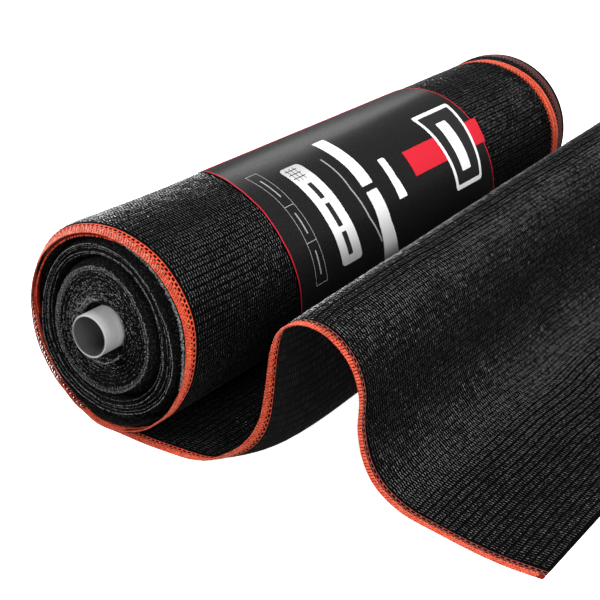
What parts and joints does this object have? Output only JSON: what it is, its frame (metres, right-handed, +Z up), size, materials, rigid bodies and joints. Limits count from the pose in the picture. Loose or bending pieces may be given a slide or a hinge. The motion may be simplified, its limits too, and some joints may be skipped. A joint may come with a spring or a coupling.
{
  "type": "debris netting roll",
  "caption": "Roll of black knitted safety netting with orange edge bindings, wound on a plastic core with its loose end drawn out over the floor",
  "frame": {"origin": "on the floor under the roll's axis, half-way along the netting's width", "axes": "+Y runs along the roll from its near end to its far end, +X points from the roll to the loose end's cut edge, +Z is up"},
  "size_m": [0.7007, 1.072, 0.2655],
  "materials": {
    "netting": "knitted, slightly shiny yarn",
    "binding": "knitted, matt",
    "core_plastic": "satin, lightly scuffed",
    "label_film": "satin printed film"
  },
  "bodies": {
    "root": {"core_tube": "core_plastic", "wound_roll": "netting", "net_tail": "netting", "binding_near": "binding", "binding_far": "binding", "binding_far_second": "binding", "binding_far_inner": "binding", "label": "label_film"}
  },
  "joints": []
}
